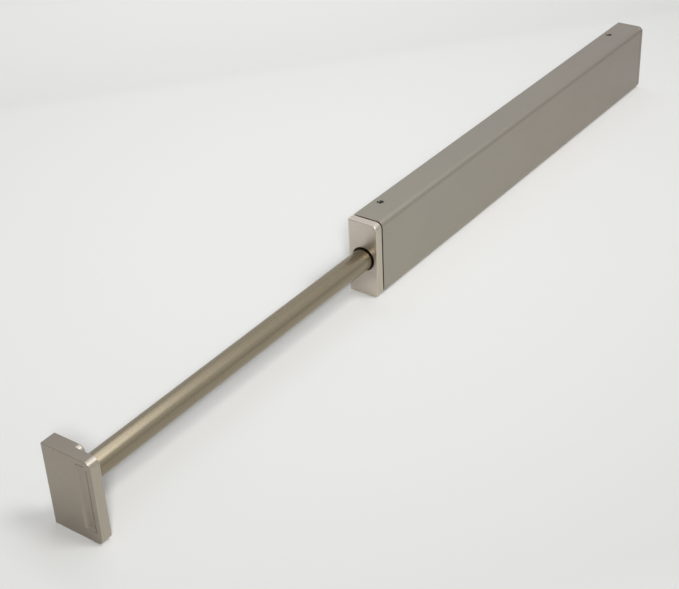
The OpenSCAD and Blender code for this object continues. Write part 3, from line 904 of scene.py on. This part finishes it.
def floor_painted_light(tree):
    """The paper's painted light: a slow fade away from its middle, and the painted shade and light of a soft
    fold behind the object.
    """
    coord = tree.nodes.new("ShaderNodeTexCoord")
    away = tree.nodes.new("ShaderNodeMapping")
    away.vector_type = "TEXTURE"
    away.inputs["Location"].default_value = (*LIGHT_POOL_CENTRE, FLOOR_Z * MM)
    away.inputs["Rotation"].default_value = (0, 0, LIGHT_POOL_TURN)
    away.inputs["Scale"].default_value = (*LIGHT_POOL_REACH, 1)
    link(tree, coord.outputs["Object"], away.inputs["Vector"])
    square = tree.nodes.new("ShaderNodeVectorMath")
    square.operation = "DOT_PRODUCT"
    link(tree, away.outputs["Vector"], square.inputs[0])
    link(tree, away.outputs["Vector"], square.inputs[1])
    low, high = LIGHT_POOL_LEVELS
    # The fade: a painted pool of light, brightest at the paper's centre
    fade = math_node(tree, "MULTIPLY_ADD", square.outputs["Value"], -high, high)
    fade = math_node(tree, "MAXIMUM", fade, low)
    across = tree.nodes.new("ShaderNodeVectorMath")
    across.operation = "DOT_PRODUCT"
    normal = (-math.sin(FOLD_TURN), math.cos(FOLD_TURN), 0)
    across.inputs[1].default_value = normal
    link(tree, coord.outputs["Object"], across.inputs[0])
    start = normal[0] * FOLD_POINT[0] + normal[1] * FOLD_POINT[1]
    # The fold's painted shade along its line, then painted light beyond it
    fold_shade = spread(tree, across.outputs["Value"], 0.0, FOLD_SHADE, start - FOLD_EDGE, start + FOLD_EDGE)
    fold_light = spread(tree, across.outputs["Value"], 0.0, FOLD_LIGHT, start + FOLD_EDGE, start + FOLD_END)
    fold = math_node(tree, "SUBTRACT", 1.0, math_node(tree, "SUBTRACT", fold_shade, fold_light))
    return math_node(tree, "MULTIPLY", fade, fold)


def seen_rays(tree):
    """1 for the rays that show a background: the camera's own, mirrored and refracted ones."""
    path = tree.nodes.new("ShaderNodeLightPath")
    seen = math_node(tree, "MAXIMUM", path.outputs["Is Camera Ray"], path.outputs["Is Glossy Ray"])
    return math_node(tree, "MAXIMUM", seen, path.outputs["Is Transmission Ray"])


def fade_out(tree, shader):
    """Far from the object the floor shows the surround's tone, so that no horizon stands out."""
    coord = tree.nodes.new("ShaderNodeTexCoord")
    away = tree.nodes.new("ShaderNodeVectorMath")
    away.operation = "LENGTH"
    link(tree, coord.outputs["Object"], away.inputs[0])
    far = spread(tree, away.outputs["Value"], 0.0, 1.0, *FAR_REACH)
    haze = tree.nodes.new("ShaderNodeEmission")
    haze.inputs["Color"].default_value = (*FAR_TONE, 1)
    mix = tree.nodes.new("ShaderNodeMixShader")
    link(tree, math_node(tree, "MULTIPLY", far, seen_rays(tree)), mix.inputs["Fac"])
    link(tree, shader.outputs["BSDF"], mix.inputs[1])
    link(tree, haze.outputs["Emission"], mix.inputs[2])
    link(tree, mix.outputs["Shader"], tree.nodes["Material Output"].inputs["Surface"])


def floor_piece():
    """The paper floor."""
    half, level = FLOOR_HALF, FLOOR_Z * MM
    mesh = bpy.data.meshes.new("floor")
    corners = [(-half, -half, level), (half, -half, level), (half, half, level), (-half, half, level)]
    mesh.from_pydata(corners, [], [(0, 1, 2, 3)])
    obj = bpy.data.objects.new("floor", mesh)
    bpy.context.scene.collection.objects.link(obj)
    material, tree, shader = finish_material("floor", 0.0)
    painted_floor_light = floor_painted_light(tree)
    link(tree, two_tone(tree, painted_floor_light, (0, 0, 0), FLOOR_TONE), shader.inputs["Base Color"])
    shader.inputs["Roughness"].default_value = FLOOR_ROUGHNESS
    shader.inputs["Specular IOR Level"].default_value = FLOOR_SPECULAR
    fade_out(tree, shader)
    obj.data.materials.append(material)


def lamp(name, aim, direction, distance, size, radiance, tint=(1, 1, 1)):
    """An area lamp that shines at aim from that direction. size is its width along X and its depth, and a
    lamp that is as wide as deep is round."""
    data = bpy.data.lights.new(name, "AREA")
    round_one = size[0] == size[1]
    data.shape = "DISK" if round_one else "RECTANGLE"
    data.size, data.size_y = size
    area = size[0] * size[1] * (math.pi / 4 if round_one else 1)
    data.energy = radiance * area * math.pi
    data.color = tint
    obj = bpy.data.objects.new(name, data)
    away = Vector(direction).normalized()
    side = (Vector((1, 0, 0)) - away.x * away).normalized()
    turn = Matrix((side, away.cross(side), away)).transposed().to_4x4()
    obj.matrix_world = Matrix.Translation(Vector(aim) + away * distance) @ turn
    obj.visible_camera = False
    bpy.context.scene.collection.objects.link(obj)
    return obj


def ramp(tree, value, stops):
    """A grey ramp. stops are (position, brightness)."""
    node = tree.nodes.new("ShaderNodeValToRGB")
    elements = node.color_ramp.elements
    for i, (position, brightness) in enumerate(stops):
        element = elements[i] if i < 2 else elements.new(position)
        element.position = position
        element.color = (brightness, brightness, brightness, 1)
    link(tree, value, node.inputs["Fac"])
    return node.outputs["Color"]


def surround():
    """A pale room, dimmer near the horizon and on the photographer's side. It lights the scene by less than
    it shows, because the lamps hold most of the light."""
    world = bpy.data.worlds.new("surround")
    world.use_nodes = True
    tree = world.node_tree
    background = tree.nodes["Background"]
    axes = axes_of(tree, "Generated")
    height = ramp(tree, axes.outputs["Z"], HEIGHT_STOPS)
    depth = ramp(tree, math_node(tree, "MULTIPLY_ADD", axes.outputs["Y"], 0.5, 0.5), DEPTH_STOPS)
    tone = tree.nodes.new("ShaderNodeMix")
    tone.data_type = "RGBA"
    tone.blend_type = "MULTIPLY"
    tone.inputs["Factor"].default_value = 1.0
    link(tree, height, tone.inputs["A"])
    link(tree, depth, tone.inputs["B"])
    link(tree, tone.outputs["Result"], background.inputs["Color"])
    strength = spread(tree, seen_rays(tree), FILL_LIGHT, 1.0, 0.0, 1.0)
    link(tree, strength, background.inputs["Strength"])
    world.cycles.sampling_method = "NONE"
    bpy.context.scene.world = world


def camera():
    """The photograph's camera, fitted to the housing, the rod and the paddle."""
    yaw, pitch, roll = CAMERA_YAW, CAMERA_PITCH, CAMERA_ROLL
    ahead = Vector((-math.sin(yaw) * math.cos(pitch), math.cos(yaw) * math.cos(pitch), math.sin(pitch)))
    level = Vector((math.cos(yaw), math.sin(yaw), 0))
    upward = level.cross(ahead)
    right = math.cos(roll) * level + math.sin(roll) * upward
    up = math.cos(roll) * upward - math.sin(roll) * level
    data = bpy.data.cameras.new("photo_view")
    data.sensor_fit = "HORIZONTAL"
    data.sensor_width = SENSOR_W
    data.lens = SENSOR_W * FOCAL_PX / PHOTO_W_PX
    obj = bpy.data.objects.new("photo_view", data)
    turn = Matrix((right, up, -ahead)).transposed().to_4x4()
    obj.matrix_world = Matrix.Translation(CAMERA_PLACE) @ turn
    bpy.context.scene.collection.objects.link(obj)
    bpy.context.scene.camera = obj


floor_piece()
surround()
camera()
lamp("key", aim=(0.01, -0.2, 0), direction=(0.449, 0.158, 0.880), distance=3.0, size=(1.0, 1.0),
     radiance=13.2)
front = lamp("front", aim=(0.01, -0.29, 0), direction=(0.547, -0.602, 0.583), distance=1.2, size=(0.2, 0.2),
             radiance=98.7)
front.visible_glossy = False
glow = lamp("glow", aim=(0.01, -0.29, 0), direction=(0.557, -0.587, 0.587), distance=3.0, size=(0.9, 0.9),
            radiance=9.0)
glow.visible_diffuse = False
lamp("panel", aim=(0.01, -0.38, 0), direction=(0.08, 0.475, 0.87), distance=1.3, size=(1.9, 0.22),
     radiance=2.55, tint=(0.97, 0.99, 1.06))
bpy.context.scene.view_settings.view_transform = "Standard"
